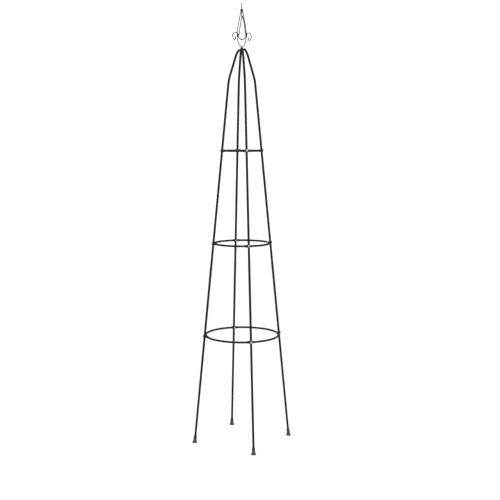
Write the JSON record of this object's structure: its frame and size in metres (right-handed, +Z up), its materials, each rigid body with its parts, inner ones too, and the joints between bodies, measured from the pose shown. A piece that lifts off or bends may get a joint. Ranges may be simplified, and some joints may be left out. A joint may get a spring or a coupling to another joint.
{
  "type": "garden obelisk",
  "caption": "Tall slender garden obelisk for climbing plants: tube legs leaning in to a hub, horizontal rings bolted inside them, and a wire finial with scrolls.",
  "frame": {"origin": "on the ground, on the obelisk's own axis, level with the undersides of its feet", "axes": "+Z up along the obelisk's axis; the legs stand on +X (right), +Y (rear), -X (left) and -Y (front); the flat wire finial lies in the XZ plane"},
  "size_m": [0.4512, 0.4512, 1.9],
  "materials": {
    "coated_steel": "black plastic coating on steel tube and rod, semi-gloss, faintly wavy, with a few scuffs",
    "black_wire": "black paint on welded steel wire, satin, thin at the bends",
    "zinc_steel": "bright zinc plate, slightly clouded",
    "black_plastic": "moulded black plastic, fine grain, dusty low down"
  },
  "bodies": {
    "root": {"leg_front_foot": "black_plastic", "leg_front_bottom_tube": "coated_steel", "leg_front_lower_tube": "coated_steel", "leg_front_upper_tube": "coated_steel", "leg_front_top_tube": "coated_steel", "leg_left_foot": "black_plastic", "leg_left_bottom_tube": "coated_steel", "leg_left_lower_tube": "coated_steel", "leg_left_upper_tube": "coated_steel", "leg_left_top_tube": "coated_steel", "leg_rear_foot": "black_plastic", "leg_rear_bottom_tube": "coated_steel", "leg_rear_lower_tube": "coated_steel", "leg_rear_upper_tube": "coated_steel", "leg_rear_top_tube": "coated_steel", "leg_right_foot": "black_plastic", "leg_right_bottom_tube": "coated_steel", "leg_right_lower_tube": "coated_steel", "leg_right_upper_tube": "coated_steel", "leg_right_top_tube": "coated_steel", "ring_bottom": "coated_steel", "ring_bottom_bolt_front": "zinc_steel", "ring_bottom_nut_front": "zinc_steel", "ring_bottom_bolt_left": "zinc_steel", "ring_bottom_nut_left": "zinc_steel", "ring_bottom_bolt_rear": "zinc_steel", "ring_bottom_nut_rear": "zinc_steel", "ring_bottom_bolt_right": "zinc_steel", "ring_bottom_nut_right": "zinc_steel", "ring_middle": "coated_steel", "ring_middle_bolt_front": "zinc_steel", "ring_middle_nut_front": "zinc_steel", "ring_middle_bolt_left": "zinc_steel", "ring_middle_nut_left": "zinc_steel", "ring_middle_bolt_rear": "zinc_steel", "ring_middle_nut_rear": "zinc_steel", "ring_middle_bolt_right": "zinc_steel", "ring_middle_nut_right": "zinc_steel", "ring_top": "coated_steel", "ring_top_bolt_front": "zinc_steel", "ring_top_nut_front": "zinc_steel", "ring_top_bolt_left": "zinc_steel", "ring_top_nut_left": "zinc_steel", "ring_top_bolt_rear": "zinc_steel", "ring_top_nut_rear": "zinc_steel", "ring_top_bolt_right": "zinc_steel", "ring_top_nut_right": "zinc_steel", "hub_nut": "zinc_steel", "hub_washer_lower": "zinc_steel", "hub_washer_upper": "black_wire", "finial_stud": "black_wire", "finial_outer_loop": "black_wire", "finial_inner_loop": "black_wire", "finial_scroll": "black_wire", "finial_spike": "black_wire"}
  },
  "joints": []
}
